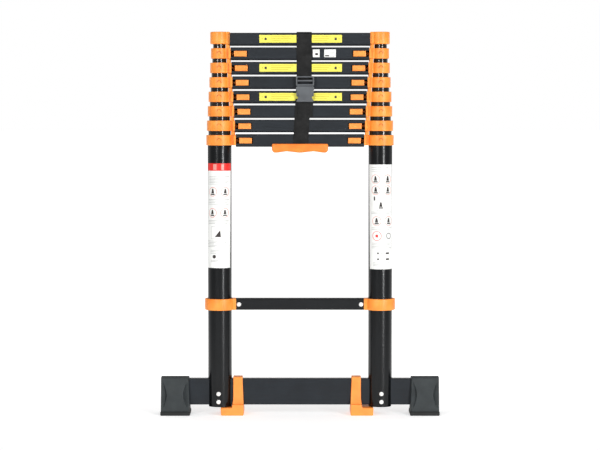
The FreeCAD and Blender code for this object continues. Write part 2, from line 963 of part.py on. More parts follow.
def make_grip():
    """A moulded grip under the lowest rung of the stack, with lips over the rung's front and back,
    finger swells underneath and a channel that the strap passes through."""
    rung_low = section_base(1)
    low = f"({rung_low} - $grip_below)"
    end = "$grip_length/2"
    body = new_body("grip")
    side_view = sketch_on(body, "XZ_Plane")
    outline(
        side_view,
        [
            (f"-{end}", "$grip_rise"),
            (f"-{end}*0.86", "0.4"),
            (f"-{end}*0.72", "0"),
            (f"-{end}*0.5", "$grip_rise*0.55"),
            (f"-{end}*0.26", "$grip_rise*0.75"),
            ("0", "0"),
            (f"{end}*0.26", "$grip_rise*0.75"),
            (f"{end}*0.5", "$grip_rise*0.55"),
            (f"{end}*0.72", "0"),
            (f"{end}*0.86", "0.4"),
            (end, "$grip_rise"),
            (end, "$grip_below + $grip_above"),
            (f"-{end}", "$grip_below + $grip_above"),
        ],
    )
    pad(body, side_view, "$grip_depth", both=True)
    top = value_of("$grip_below + $grip_above")
    half = value_of(end)
    fillet(
        body,
        "$grip_edge",
        lambda edge: edge.Curve.TypeId == "Part::GeomLine"
        and all(abs(abs(v.X) - half) < 1e-6 for v in edge.Vertexes)
        and (
            is_along(edge, Vector(0, 0, 1))
            or edge.Vertexes[0].Z + edge.Vertexes[1].Z < top
        ),
    )
    seat = sketch_on(body, "XZ_Plane")
    rectangle(
        seat,
        (f"-{end} - 1", f"{end} + 1"),
        ("$grip_below", "$grip_below + $grip_above + 1"),
    )
    pocket(body, seat, "$rung_depth + 2*$grip_fit", both=True)
    channel = sketch_on(body, "XZ_Plane")
    centre = "$strap_centre"
    rectangle(
        channel,
        (f"{centre} - $grip_channel/2", f"{centre} + $grip_channel/2"),
        (
            "$grip_below - $grip_channel_deep",
            "$grip_below + $grip_above + 1",
        ),
    )
    pocket(
        body,
        channel,
        "$rung_depth + 2*($strap_gap*2 + $strap_thick)",
        both=True,
    )
    holes = sketch_on(body, "XY_Plane")
    for side in ("-", ""):
        circle(holes, f"{side}$screw_spread", "0", "$screw_width/2")
    pocket(body, holes, "$grip_below + 1", backwards=True)
    sinks = sketch_on(body, "XY_Plane")
    for side in ("-", ""):
        circle(sinks, f"{side}$screw_spread", "0", "$screw_head/2")
    pocket(body, sinks, "$grip_below/2", backwards=True)
    place(body, z=low)
    keep(body, "carry_grip")
    screws = []
    for side in ("-", ""):
        at = (f"{side}$screw_spread", "0")
        shank = round_bar(
            "Z",
            "$screw_width/2",
            f"{low} + $grip_below/2",
            f"{rung_low} + $rung_wall",
            at,
        )
        head = round_bar(
            "Z",
            "$screw_head/2",
            f"{low} + $grip_below/2 - 3",
            f"{low} + $grip_below/2",
            at,
        )
        screws.append(join(shank, head))
    keep(group(*screws), "grip_screws")


# ---- strap and buckle ----


def make_strap():
    """The webbing loop as one flat band round the stack: over the top rung and through the grip."""
    low = f"({section_base(1)} - $strap_gap)"
    high = f"({section_base(TOP)} + $rung_height + $strap_gap)"
    reach = "($rung_depth/2 + $strap_gap)"
    body = new_body("strap_loop")
    loop = sketch_on(body, "YZ_Plane")
    rectangle(
        loop,
        (f"-{reach} - $strap_thick", f"{reach} + $strap_thick"),
        (f"{low} - $strap_thick", f"{high} + $strap_thick"),
    )
    rectangle(loop, (f"-{reach}", reach), (low, high))
    pad(body, loop, "$strap_width", both=True)
    place(body, x="$strap_centre")
    keep(body, "strap")


def make_buckle():
    """A side-release buckle. The housing is below, and the tongue's two prongs run down into it."""
    back = "(-$rung_depth/2 - 2*$strap_gap - $strap_thick)"
    front = f"({back} - $buckle_thick)"
    middle = "$buckle_centre"
    half = "$buckle_width/2"
    low = "$buckle_base"
    split = "($buckle_base + $housing_length)"
    high = "($buckle_base + $buckle_length)"
    fit = "$buckle_gap"
    shell = box((f"{middle} - {half}", f"{middle} + {half}"), (front, back), (low, split))
    rooms = []
    for sign in ("-", "+"):
        centre = f"{middle} {sign} ({half} - $prong_width)"
        rooms.append(
            box(
                (f"{centre} - $prong_width/2 - {fit}", f"{centre} + $prong_width/2 + {fit}"),
                (
                    f"{front} + $buckle_thick/2 - $prong_thick/2 - {fit}",
                    f"{front} + $buckle_thick/2 + $prong_thick/2 + {fit}",
                ),
                (f"{split} - $prong_length - {fit}", f"{split} + 1"),
            )
        )
    waists = [
        round_bar(
            "Y",
            "$housing_length*0.42",
            f"{front} - 1",
            f"{back} + 1",
            (
                f"{middle} {sign} ({half} + $housing_length*0.34)",
                f"{low} + $housing_length*0.42",
            ),
        )
        for sign in ("-", "+")
    ]
    keep(cut(shell, *rooms, *waists), "buckle_housing")
    frame = box(
        (f"{middle} - {half}", f"{middle} + {half}"),
        (front, back),
        (f"{split} + {fit}", high),
    )
    window = box(
        (f"{middle} - {half} + $frame_wall", f"{middle} + {half} - $frame_wall"),
        (f"{front} - 1", f"{back} + 1"),
        (f"{split} + {fit} + $frame_wall", f"{high} - $frame_wall"),
    )
    crossbar = box(
        (f"{middle} - {half} + 1", f"{middle} + {half} - 1"),
        (f"{front} + 3", f"{back} - 3"),
        (f"{high} - $frame_wall - 8", f"{high} - $frame_wall - 4.5"),
    )
    prongs = []
    for sign in ("-", "+"):
        centre = f"{middle} {sign} ({half} - $prong_width)"
        prongs.append(
            box(
                (f"{centre} - $prong_width/2", f"{centre} + $prong_width/2"),
                (
                    f"{front} + $buckle_thick/2 - $prong_thick/2",
                    f"{front} + $buckle_thick/2 + $prong_thick/2",
                ),
                (f"{split} - $prong_length", f"{split} + {fit} + 1"),
            )
        )
    keep(join(cut(frame, window), crossbar, *prongs), "buckle_tongue")


# ---- the whole ladder ----

for section in range(1, SECTIONS + 1):
    make_stiles(section)
    make_rung(section)
    if section == TOP:
        make_caps()
        continue
    make_collars(section)
    make_springs(section)
    for hand in ("left", "right"):
        make_release(section, hand)
make_mid_rung()
make_mid_collars()
make_rivets()
make_bar()
make_plugs()
for hand in ("left", "right"):
    make_foot(hand)
    make_lock(hand)
make_grip()
make_strap()
make_buckle()
doc.recompute()

for item in doc.Objects:
    if {"Invalid", "Error"} & set(item.State):
        raise RuntimeError(f"{item.Name} ({item.Label}) failed: {item.State}")
for node in nodes:
    if node.Shape.isNull() or not node.Shape.isValid() or not node.Shape.Solids:
        raise RuntimeError(f"{node.Label} has no valid solid")
if len({node.Label for node in nodes}) != len(nodes):
    raise RuntimeError("two sub-parts share a name")

os.makedirs("parts", exist_ok=True)
for node in nodes:
    node.Shape.exportStep(os.path.join("parts", node.Label + ".step"))
print(len(nodes), "sub-parts,", sum(len(node.Shape.Solids) for node in nodes), "solids")
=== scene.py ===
import math

import bmesh
import bpy
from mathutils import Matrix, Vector


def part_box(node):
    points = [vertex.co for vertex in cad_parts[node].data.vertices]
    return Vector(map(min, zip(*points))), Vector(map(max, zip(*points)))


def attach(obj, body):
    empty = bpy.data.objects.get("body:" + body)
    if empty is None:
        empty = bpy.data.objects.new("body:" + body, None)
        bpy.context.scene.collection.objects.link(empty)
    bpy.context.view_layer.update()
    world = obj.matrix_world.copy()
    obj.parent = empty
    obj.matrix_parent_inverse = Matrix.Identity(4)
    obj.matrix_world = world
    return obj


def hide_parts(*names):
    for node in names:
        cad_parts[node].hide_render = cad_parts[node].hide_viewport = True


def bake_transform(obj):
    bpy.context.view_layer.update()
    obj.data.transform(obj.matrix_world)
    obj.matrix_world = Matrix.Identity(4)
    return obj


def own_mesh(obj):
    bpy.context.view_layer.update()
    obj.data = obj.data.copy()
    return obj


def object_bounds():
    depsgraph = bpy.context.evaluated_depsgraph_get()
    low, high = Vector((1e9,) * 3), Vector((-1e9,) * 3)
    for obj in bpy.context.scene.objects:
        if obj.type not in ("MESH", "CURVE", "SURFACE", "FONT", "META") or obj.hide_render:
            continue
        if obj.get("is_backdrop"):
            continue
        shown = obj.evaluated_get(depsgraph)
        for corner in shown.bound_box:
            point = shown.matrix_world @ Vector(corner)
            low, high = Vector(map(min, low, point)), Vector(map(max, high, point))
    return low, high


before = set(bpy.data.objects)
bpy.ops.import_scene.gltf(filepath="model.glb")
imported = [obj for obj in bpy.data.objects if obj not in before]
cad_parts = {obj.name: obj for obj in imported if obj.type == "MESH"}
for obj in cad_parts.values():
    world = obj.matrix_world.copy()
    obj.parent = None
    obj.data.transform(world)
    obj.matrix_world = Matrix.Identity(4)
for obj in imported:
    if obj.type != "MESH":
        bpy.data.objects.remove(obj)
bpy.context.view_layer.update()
MM = 0.001

# ---------------------------------------------------------------------------
# Studio. A pale floor in a light grey room. The floor glows with painted light,
# brightest under and behind the ladder and dimmer to the sides and front. Soft
# boxes light it, and two narrow ones draw the tubes' highlights.
# ---------------------------------------------------------------------------

scene = bpy.context.scene
scene.view_settings.view_transform = "Standard"


def linear(code):
    """A hex sRGB colour as linear red, green, blue and alpha."""
    channels = [int(code[i : i + 2], 16) / 255 for i in (1, 3, 5)]
    return [c / 12.92 if c <= 0.04045 else ((c + 0.055) / 1.055) ** 2.4 for c in channels] + [1.0]


def add(tree, kind, sockets=None, stops=None, **settings):
    """Add a node, set it up and link it. Gives back its first output."""
    node = tree.nodes.new("ShaderNode" + kind)
    for name, value in settings.items():
        setattr(node, name, value)
    for name, value in (sockets or {}).items():
        if isinstance(value, bpy.types.NodeSocket):
            tree.links.new(value, node.inputs[name])
        else:
            node.inputs[name].default_value = value
    if stops:
        ramp = node.color_ramp
        while len(ramp.elements) < len(stops):
            ramp.elements.new(0.5)
        for element, (place, colour) in zip(ramp.elements, stops):
            element.position = place
            element.color = colour if isinstance(colour, list) else [colour] * 3 + [1.0]
    return node.outputs[0]


def new_material(name, **surface):
    """A material named for what it is, with values that are the same all over set on its shader."""
    material = bpy.data.materials.new(name)
    material.use_nodes = True
    tree = material.node_tree
    shader = tree.nodes["Principled BSDF"]
    for socket, value in surface.items():
        shader.inputs[socket.replace("_", " ")].default_value = value
    return material, tree, shader.inputs


camera_height = 0.70
camera_distance = 4.7
aim_height = 0.4356
camera = bpy.data.objects.new("camera", bpy.data.cameras.new("camera"))
scene.collection.objects.link(camera)
camera.location = (0, -camera_distance, camera_height)
aim = Vector((0, 0, aim_height)) - camera.location
camera.rotation_euler = aim.to_track_quat("-Z", "Y").to_euler()
camera.data.sensor_width = 36
camera.data.lens = 123.2
scene.camera = camera


def soft_box(name, spot, target, size, power):
    """A rectangular soft light at a spot, turned to face its target."""
    light = bpy.data.lights.new(name, "AREA")
    light.shape = "RECTANGLE"
    light.size, light.size_y = size
    light.energy = power
    box = bpy.data.objects.new(name, light)
    scene.collection.objects.link(box)
    box.location = spot
    way = Vector(target) - Vector(spot)
    box.rotation_euler = way.to_track_quat("-Z", "Y").to_euler()


soft_box("strip_right", (1.9, -2.9, 0.9), (0, 0, 0.45), (0.10, 2.2), 80)
soft_box("strip_left", (-1.7, -3.3, 1.5), (0, 0, 0.85), (0.10, 1.4), 52)
soft_box("overhead", (0, -0.6, 3.2), (0, 0, 0.3), (3.0, 2.2), 7)
soft_box("back_left", (-2.6, 2.4, 1.6), (0, 0, 0.5), (1.2, 1.8), 10)
soft_box("back_right", (2.6, 2.4, 1.6), (0, 0, 0.5), (1.2, 1.8), 10)

world = bpy.data.worlds.new("studio")
scene.world = world
world.use_nodes = True
room = world.node_tree
direction = room.nodes.new("ShaderNodeSeparateXYZ")
room.links.new(room.nodes.new("ShaderNodeTexCoord").outputs["Generated"], direction.inputs[0])
ROOM_GREY = 0.36
brightness = add(room, "ValToRGB", {"Fac": direction.outputs["Y"]}, stops=[(0.955, ROOM_GREY), (0.984, 1.0)])
room.links.new(brightness, room.nodes["Background"].inputs["Color"])

FLOOR_REACH = 60
floor_corners = [(FLOOR_REACH * x, FLOOR_REACH * y, 0) for x, y in ((-1, -1), (1, -1), (1, 1), (-1, 1))]
floor_mesh = bpy.data.meshes.new("floor")
floor_mesh.from_pydata(floor_corners, [], [(0, 1, 2, 3)])
floor = bpy.data.objects.new("floor", floor_mesh)
scene.collection.objects.link(floor)
# The floor glows, and its glow is painted light: strongest under and behind the ladder, fading towards the sides
# and the front. Where it fades, the base colour darkens too, as painted shade.
painted_glow_floor, tree, sockets = new_material("matt_floor_with_painted_glow", Roughness=0.9, Emission_Color=(1, 1, 1, 1))
floor_spot = tree.nodes.new("ShaderNodeTexCoord").outputs["Object"]
floor_depth = tree.nodes.new("ShaderNodeSeparateXYZ")
tree.links.new(floor_spot, floor_depth.inputs[0])
near_to_far = add(
    tree,
    "MapRange",
    {"Value": floor_depth.outputs["Y"], "From Min": -0.7, "From Max": 1.6, "To Min": 0.32, "To Max": 1.0},
    interpolation_type="SMOOTHSTEP",
)
reach = add(tree, "Math", {0: floor_depth.outputs["Y"], 1: 0.15, 2: 0.78}, operation="MULTIPLY_ADD")
sideways = add(tree, "Math", {0: floor_depth.outputs["X"]}, operation="ABSOLUTE")
spread = add(tree, "Math", {0: sideways, 1: reach}, operation="DIVIDE")
middle_part = add(
    tree,
    "MapRange",
    {"Value": spread, "From Min": 1.0, "From Max": 2.2, "To Min": 1.0, "To Max": 0.6},
    interpolation_type="SMOOTHSTEP",
)
far_part = add(
    tree,
    "MapRange",
    {"Value": floor_depth.outputs["Y"], "From Min": -2.5, "From Max": -0.6, "To Min": 0.6},
    interpolation_type="SMOOTHSTEP",
)
painted_light_pool = add(tree, "Math", {0: middle_part, 1: far_part}, operation="MULTIPLY")
painted_floor_glow = add(tree, "Math", {0: near_to_far, 1: painted_light_pool}, operation="MULTIPLY")
tree.links.new(painted_floor_glow, sockets["Emission Strength"])
painted_floor_shade = add(tree, "ValToRGB", {"Fac": painted_light_pool}, stops=[(0.0, 0.3), (1.0, 0.89)])
tree.links.new(painted_floor_shade, sockets["Base Color"])
floor_mesh.materials.append(painted_glow_floor)
floor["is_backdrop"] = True


# ---------------------------------------------------------------------------
# Outer stiles. Drawn aluminium tube, anodised satin black. Drawing leaves fine
# lines along the tube, and the dyed oxide keeps a soft, slightly uneven sheen.
# ---------------------------------------------------------------------------


def anodised(name, dark, light, grain, line_width, shine, gleam=0.5):
    """Dyed anodised aluminium with fine lines along the grain, an axis number, and faint cloudiness."""
    material, tree, sockets = new_material(name, Metallic=0.35, Specular_IOR_Level=gleam)
    spot = tree.nodes.new("ShaderNodeTexCoord").outputs["Object"]
    across = 1 / (line_width * MM)
    stretch = [across, across, across]
    stretch[grain] = across / 60
    lines = add(tree, "Mapping", {"Vector": spot, "Scale": stretch})
    streaks = add(tree, "TexNoise", {"Vector": lines, "Scale": 1.0, "Detail": 4.0})
    cloud_size = 45 * MM
    cloud = add(tree, "TexNoise", {"Vector": spot, "Scale": 1 / cloud_size, "Detail": 3.0})
    both = add(tree, "Math", {0: streaks, 1: cloud}, operation="MULTIPLY")
    colour = add(tree, "ValToRGB", {"Fac": both}, stops=[(0.12, linear(dark)), (0.42, linear(light))])
    tree.links.new(colour, sockets["Base Color"])
    low, high = shine
    spread = {"Value": streaks, "From Min": 0.3, "From Max": 0.7, "To Min": low, "To Max": high}
    rough = add(tree, "MapRange", spread)
    tree.links.new(rough, sockets["Roughness"])
    bump = add(tree, "Bump", {"Strength": 0.12, "Distance": 0.05 * MM, "Height": streaks})
    tree.links.new(bump, sockets["Normal"])
    return material


def dress(node, material):
    """Give a carried-over node its material."""
    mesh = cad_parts[node].data
    mesh.materials.clear()
    mesh.materials.append(material)
    mesh.polygons.foreach_set("material_index", [0] * len(mesh.polygons))


ALONG_X, ALONG_Z = 0, 2
black_tube = anodised("black_anodised_drawn_tube", "#06080a", "#0c0f12", ALONG_Z, 0.5, (0.19, 0.26), 0.5)
dress("stiles_1", black_tube)


# ---------------------------------------------------------------------------
# Inner stiles. The same tube, a size smaller each time, and glossier. Their lighter,
# brown colour is a painted reflection of the orange collars round them.
# ---------------------------------------------------------------------------

inner_tube_painted_reflection = anodised("anodised_tube_painted_collar_reflection", "#1a1512", "#262019", ALONG_Z, 0.4, (0.11, 0.18), 0.75)
SECTIONS = 8
for k in range(2, SECTIONS + 1):
    dress(f"stiles_{k}", inner_tube_painted_reflection)


# ---------------------------------------------------------------------------
# Rungs, middle rung and floor bar. Extruded aluminium, anodised blue-grey, and
# nearly black on the middle rung. The die leaves fine lines along each bar.
# ---------------------------------------------------------------------------

grey_bar = anodised("blue_grey_anodised_extrusion", "#12171d", "#1b2229", ALONG_X, 0.6, (0.36, 0.5))
for k in range(1, SECTIONS + 1):
    dress(f"rung_{k}", grey_bar)
dress("base_bar", grey_bar)
dark_bar = anodised("dark_grey_anodised_extrusion", "#06080b", "#0c1014", ALONG_X, 0.6, (0.32, 0.44))
dress("mid_rung", dark_bar)


# ---------------------------------------------------------------------------
# Collars. Glass-filled nylon, moulded in orange round the top of each tube.
# Each has a ring, a neck that carries the next collar, and a latch cage that
# plugs into the end of its rung.
# ---------------------------------------------------------------------------


def moulded(name, dark, light, texture_size, shine, depth=0.03):
    """Moulded plastic: a fine mould texture, and a faint drift in colour from the flow of the melt."""
    material, tree, sockets = new_material(name, Metallic=0.0, IOR=1.5)
    spot = tree.nodes.new("ShaderNodeTexCoord").outputs["Object"]
    flow_size = 25 * MM
    flow = add(tree, "TexNoise", {"Vector": spot, "Scale": 1 / flow_size, "Detail": 2.0})
    colour = add(tree, "ValToRGB", {"Fac": flow}, stops=[(0.35, linear(dark)), (0.65, linear(light))])
    tree.links.new(colour, sockets["Base Color"])
    grit = add(tree, "TexNoise", {"Vector": spot, "Scale": 1 / (texture_size * MM), "Detail": 2.0})
    low, high = shine
    spread = {"Value": grit, "From Min": 0.3, "From Max": 0.7, "To Min": low, "To Max": high}
    rough = add(tree, "MapRange", spread)
    tree.links.new(rough, sockets["Roughness"])
    bump = add(tree, "Bump", {"Strength": 0.25, "Distance": depth * MM, "Height": grit})
    tree.links.new(bump, sockets["Normal"])
    return material


def arc(centre, radius, start, end, steps):
    """Points in mm on an arc between two angles in degrees."""
    turns = [math.radians(start + (end - start) * step / steps) for step in range(steps + 1)]
    return [(centre[0] + radius * math.cos(turn), centre[1] + radius * math.sin(turn)) for turn in turns]


def rounded(corners, radius, steps=6):
    """The outline through these corners, in mm, with each corner turned on a radius."""
    points = []
    for number, corner in enumerate(corners):
        here = Vector(corner)
        back = (Vector(corners[number - 1]) - here).normalized()
        ahead = (Vector(corners[(number + 1) % len(corners)]) - here).normalized()
        half = back.angle(ahead) / 2
        centre = here + (back + ahead).normalized() * radius / math.sin(half)
        first = here + back * radius / math.tan(half) - centre
        last = here + ahead * radius / math.tan(half) - centre
        start = math.degrees(math.atan2(first.y, first.x))
        sweep = (math.degrees(math.atan2(last.y, last.x)) - start + 180) % 360 - 180
        points += arc(centre, radius, start, start + sweep, steps)
    return points


def rectangle(left, low, right, high):
    """An anticlockwise rectangle."""
    return [(left, low), (right, low), (right, high), (left, high)]


def slab(loops, low, high, rounding, face):
    """A mesh with flat faces and rounded rims. The loops are drawn in mm in the plane square to
    face, anticlockwise, and a clockwise loop is a hole. Low and high are its two faces."""
    curve = bpy.data.curves.new("slab", "CURVE")
    curve.dimensions = "2D"
    curve.fill_mode = "BOTH"
    curve.extrude = ((high - low) / 2 - rounding) * MM
    curve.bevel_depth = rounding * MM
    curve.bevel_resolution = 3
    curve.offset = -rounding * MM
    for loop in loops:
        spline = curve.splines.new("POLY")
        spline.points.add(len(loop) - 1)
        spline.use_cyclic_u = True
        for point, (u, v) in zip(spline.points, loop):
            point.co = (u * MM, v * MM, 0, 1)
    stand_in = bpy.data.objects.new("slab", curve)
    mesh = bpy.data.meshes.new_from_object(stand_in)
    bpy.data.objects.remove(stand_in)
    middle = (low + high) / 2 * MM
    for vertex in mesh.vertices:
        u, v, w = vertex.co
        spots = {"Z": (u, v, w + middle), "Y": (u, middle - w, v), "X": (w + middle, u, v)}
        vertex.co = spots[face]
    return mesh


def together(*meshes):
    """Several meshes as one."""
    joined = bmesh.new()
    for mesh in meshes:
        joined.from_mesh(mesh)
        bpy.data.meshes.remove(mesh)
    bmesh.ops.remove_doubles(joined, verts=joined.verts, dist=0.001 * MM)
    result = bpy.data.meshes.new("joined")
    joined.to_mesh(result)
    joined.free()
    return result


def flipped(loop):
    """The same loop on the other side of the ladder's middle plane, running the same way round."""
    return [(-u, v) for u, v in reversed(loop)]


def cut_away(mesh, low, high):
    """The mesh with a box taken out of it. The box's corners are in mm."""
    cutter_mesh = bpy.data.meshes.new("cutter")
    widths, depths, heights = zip(low, high)
    corners = [(x * MM, y * MM, z * MM) for x in widths for y in depths for z in heights]
    faces = [(0, 1, 3, 2), (4, 6, 7, 5), (0, 4, 5, 1), (2, 3, 7, 6), (0, 2, 6, 4), (1, 5, 7, 3)]
    cutter_mesh.from_pydata(corners, [], faces)
    cutter = bpy.data.objects.new("cutter", cutter_mesh)
    body = bpy.data.objects.new("body", mesh)
    for item in (cutter, body):
        scene.collection.objects.link(item)
    cut = body.modifiers.new("cut", "BOOLEAN")
    cut.object = cutter
    cut.solver = "EXACT"
    bpy.context.view_layer.update()
    result = bpy.data.meshes.new_from_object(body.evaluated_get(bpy.context.evaluated_depsgraph_get()))
    for item in (cutter, body):
        bpy.data.objects.remove(item)
    return result


def both_sides(*loops):
    """These loops of the left side, and the same on the right."""
    return list(loops) + [flipped(loop) for loop in loops]


def piece(name, mesh, material, body, finish, *stands_for):
    """Put a mesh in the scene as a named piece that moves with a body."""
    mesh.name = name
    mesh.materials.append(material)
    mesh.shade_smooth()
    mesh.set_sharp_from_angle(angle=math.radians(32))
    made = bpy.data.objects.new(name, mesh)
    scene.collection.objects.link(made)
    if body:
        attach(made, body)
    if stands_for:
        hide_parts(*stands_for)
    return made


def carrier(k):
    """The body that section k moves with."""
    return "base" if k == 1 else f"section_{k}"


def span(node, axis):
    """A CAD node's lowest and highest coordinate along an axis number, in mm."""
    low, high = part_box(node)
    return low[axis] / MM, high[axis] / MM


X, Y, Z = 0, 1, 2

# In mm. STILE is from the ladder's middle to a tube's middle, and TUBE is the outermost tube's radius.
STILE = 184
TUBE = 27.5
TUBE_STEP = 1.9
RUNG_HALF_DEPTH = 20
PITCH = 32.9
COLLAR_LIFT = 3.5
COLLAR_HEIGHT = 23.5
RING_WALL = 3
NECK = 10.2
NECK_HALF_DEPTH = 13
PIN_RISE = 14.45
BORE_HALF = 4.4
CAGE_LENGTH = 54
CAGE_WALL = 2.4
orange = moulded("orange_moulded_nylon", "#f58b2c", "#fb9b3c", 0.8, (0.36, 0.5))
arch_painted_shade_orange = moulded("orange_nylon_painted_arch_shade", "#b8641f", "#c26d26", 0.8, (0.45, 0.6))
# The latch cages are black so that the hollow rung seen round each button reads dark: painted shade.
cage_black_slot_shade = moulded("black_nylon_latch_cage_painted_slot_shade", "#141414", "#1c1c1d", 0.8, (0.5, 0.65))
centre = (-STILE, 0)
for k in range(1, SECTIONS):
    tube = TUBE - (k - 1) * TUBE_STEP
    ring = tube + RING_WALL
    face = -STILE + tube + NECK
    rung_low, rung_high = span(f"rung_{k}", Z)
    low = rung_low + COLLAR_LIFT
    top = low + COLLAR_HEIGHT
    shoulder = math.degrees(math.asin(NECK_HALF_DEPTH / ring))
    outline = arc(centre, ring, shoulder, 360 - shoulder, 72)
    outline += [(face - 5, -NECK_HALF_DEPTH), (face - 5, -RUNG_HALF_DEPTH + 0.5)]
    outline += [(face - 4.5, -RUNG_HALF_DEPTH), (face, -RUNG_HALF_DEPTH)]
    outline += [(face, RUNG_HALF_DEPTH), (face - 4.5, RUNG_HALF_DEPTH)]
    outline += [(face - 5, RUNG_HALF_DEPTH - 0.5), (face - 5, NECK_HALF_DEPTH)]
    next_tube = tube - TUBE_STEP
    hole = arc(centre, next_tube + 0.5, 360, 5, 71)
    ring_mesh = slab(both_sides(outline, hole), low, top, 1.1, "Z")
    pin = rung_low + PIN_RISE
    inner_wall = -STILE + next_tube - 2
    for left, right in ((inner_wall, face + 1), (-face - 1, -inner_wall)):
        ring_mesh = cut_away(ring_mesh, (left, -BORE_HALF, pin - BORE_HALF), (right, BORE_HALF, pin + BORE_HALF))
    next_face = face - TUBE_STEP - 0.3
    neck = rectangle(-STILE + next_tube + 1, -NECK_HALF_DEPTH, next_face, NECK_HALF_DEPTH)
    neck_mesh = slab(both_sides(rounded(neck, 0.8)), top - 2, low + PITCH - 0.25, 0.4, "Z")
    # Each ring has a moulded arch mark on its face. The mark's deep orange is painted shade, standing for the
    # shade round the mark.
    arch_centre = (-STILE, low + COLLAR_HEIGHT / 2)
    arch = arc(arch_centre, 5.4, -15, 180, 26) + arc(arch_centre, 3.6, 180, -15, 26)
    arch_mesh = slab(both_sides(arch), -ring - 0.35, -ring + 2, 0.3, "Y")
    cage_low, cage_high, cage_end = rung_low + 2.1, rung_high - 3.1, face + CAGE_LENGTH
    cage = [(face, cage_low), (cage_end, cage_low), (cage_end, cage_high), (face, cage_high)]
    cage += [(face, cage_high - CAGE_WALL), (cage_end - 2.5, cage_high - CAGE_WALL)]
    cage += [(cage_end - 2.5, cage_low + CAGE_WALL), (face, cage_low + CAGE_WALL)]
    cage_mesh = slab(both_sides(cage), -14, 14, 0.3, "Y")
    collar = together(ring_mesh, neck_mesh)
    body = carrier(k)
    piece(f"moulded_collars_{k}", collar, orange, body, "orange_moulding", f"collars_{k}")
    piece(f"painted_shade_arches_{k}", arch_mesh, arch_painted_shade_orange, body, "orange_moulding", f"collars_{k}")
    piece(f"latch_cages_{k}", cage_mesh, cage_black_slot_shade, body, "plug", f"collars_{k}")


# ---------------------------------------------------------------------------
# Top caps. The same orange nylon, closed on top, pressed over the narrowest
# tube and plugged into the ends of the top rung.
# ---------------------------------------------------------------------------

tube = TUBE - (SECTIONS - 1) * TUBE_STEP
low, high = span("top_caps", Z)
CAP_WALL = 6.5
disc = tube + CAP_WALL
shoulder = math.degrees(math.asin(NECK_HALF_DEPTH / disc))
outline = arc(centre, disc, shoulder, 360 - shoulder, 72)
outline += [(-STILE + tube + NECK, -NECK_HALF_DEPTH), (-STILE + tube + NECK, NECK_HALF_DEPTH)]
cap = slab(both_sides(outline), low, high, 2.0, "Z")
piece("moulded_top_caps", cap, orange, carrier(SECTIONS), "orange_moulding", "top_caps")


# ---------------------------------------------------------------------------
# Middle collars. Plain orange nylon rings pressed on the outer tubes, each
# with a neck that is riveted inside the end of the middle rung.
# ---------------------------------------------------------------------------

low, high = span("mid_collars", Z)
MID_COLLAR_WALL = 6.9
MID_HALF_DEPTH = 17
ring = TUBE + MID_COLLAR_WALL
shoulder = math.degrees(math.asin(MID_HALF_DEPTH / ring))
outline = arc(centre, ring, shoulder, 360 - shoulder, 72)
outline += [(-STILE + TUBE + NECK, -MID_HALF_DEPTH), (-STILE + TUBE + NECK, MID_HALF_DEPTH)]
hole = arc(centre, TUBE, 360, 5, 71)
mid_collar = slab(both_sides(outline, hole), low, high, 1.6, "Z")
piece("moulded_mid_collars", mid_collar, orange, "base", "orange_moulding", "mid_collars")


# ---------------------------------------------------------------------------
# Carry grip. Orange nylon, screwed up under the lowest rung of the stack. It
# has a swell for the fingers at each end, and a channel that the strap uses.
# ---------------------------------------------------------------------------

# The grip is the same orange nylon as the collars; its darker orange is painted shade, for the shade under the
# stack.
grip_orange_painted_shade = moulded("orange_nylon_painted_grip_shade", "#ee7a20", "#f6882a", 0.8, (0.36, 0.5))
grip_low, grip_high = span("carry_grip", Z)
rung_low = span("rung_1", Z)[0]
SWELL_LENGTH = 56
SWELL = 1.45
underside = []
for step in range(-40, 41):
    u = step * SWELL_LENGTH / 40
    share = 0.86 if abs(u) < SWELL_LENGTH / 2 else 1
    rise = SWELL * share * (1 - math.cos(2 * math.pi * abs(u) / SWELL_LENGTH))
    underside.append((u, grip_low + 0.2 + rise))
right_end = arc((SWELL_LENGTH, grip_low + 8), 8, -78, 0, 8) + arc((60.5, grip_high - 3.5), 3.5, 0, 90, 6)
left_end = [(-u, v) for u, v in reversed(right_end)]
grip = slab([underside + right_end + left_end], -25.5, 25.5, 3.2, "Y")
grip = cut_away(grip, (-80, -20.3, rung_low), (80, 20.3, grip_high + 5))
grip = cut_away(grip, (-15, -22.3, rung_low - 3.5), (31, 22.3, grip_high + 5))
piece("moulded_carry_grip", grip, grip_orange_painted_shade, "base", "orange_moulding", "carry_grip")


# ---------------------------------------------------------------------------
# Release buttons. Orange nylon, polished a little by thumbs. Each is one piece
# with its carriage inside the rung, and has a steel lock pin pressed in.
# ---------------------------------------------------------------------------

button_orange = moulded("orange_moulded_nylon_button", "#ee8c38", "#f59a45", 0.6, (0.3, 0.42))
for k in range(1, SECTIONS):
    for side in ("left", "right"):
        dress(f"release_{k}_{side}", button_orange)

zinc = linear("#b9bcc0")
steel = new_material("bright_zinc_plated_steel", Metallic=1.0, Roughness=0.35, Base_Color=zinc)[0]
dress("grip_screws", steel)
for k in range(1, SECTIONS):
    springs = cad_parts[f"lock_springs_{k}"]
    end = span(f"lock_springs_{k}", X)[1]
    height = span(f"rung_{k}", Z)[0] + PIN_RISE
    for side, sign in (("left", -1), ("right", 1)):
        coil = bmesh.new()
        coil.from_mesh(springs.data)
        coil.transform(springs.matrix_world)
        bmesh.ops.delete(coil, geom=[v for v in coil.verts if v.co.x * sign < 0], context="VERTS")
        coil_mesh = bpy.data.meshes.new("coil")
        coil.to_mesh(coil_mesh)
        coil.free()
        spring = piece(f"lock_spring_{k}_{side}", coil_mesh, steel, None, "spring_steel", springs.name)
        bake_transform(spring)


# ---------------------------------------------------------------------------
# Sliding lock feet. A lighter orange nylon sleeve round the floor bar, with a
# broad toe. The left one is home under its stile, the right one is slid off.
# ---------------------------------------------------------------------------

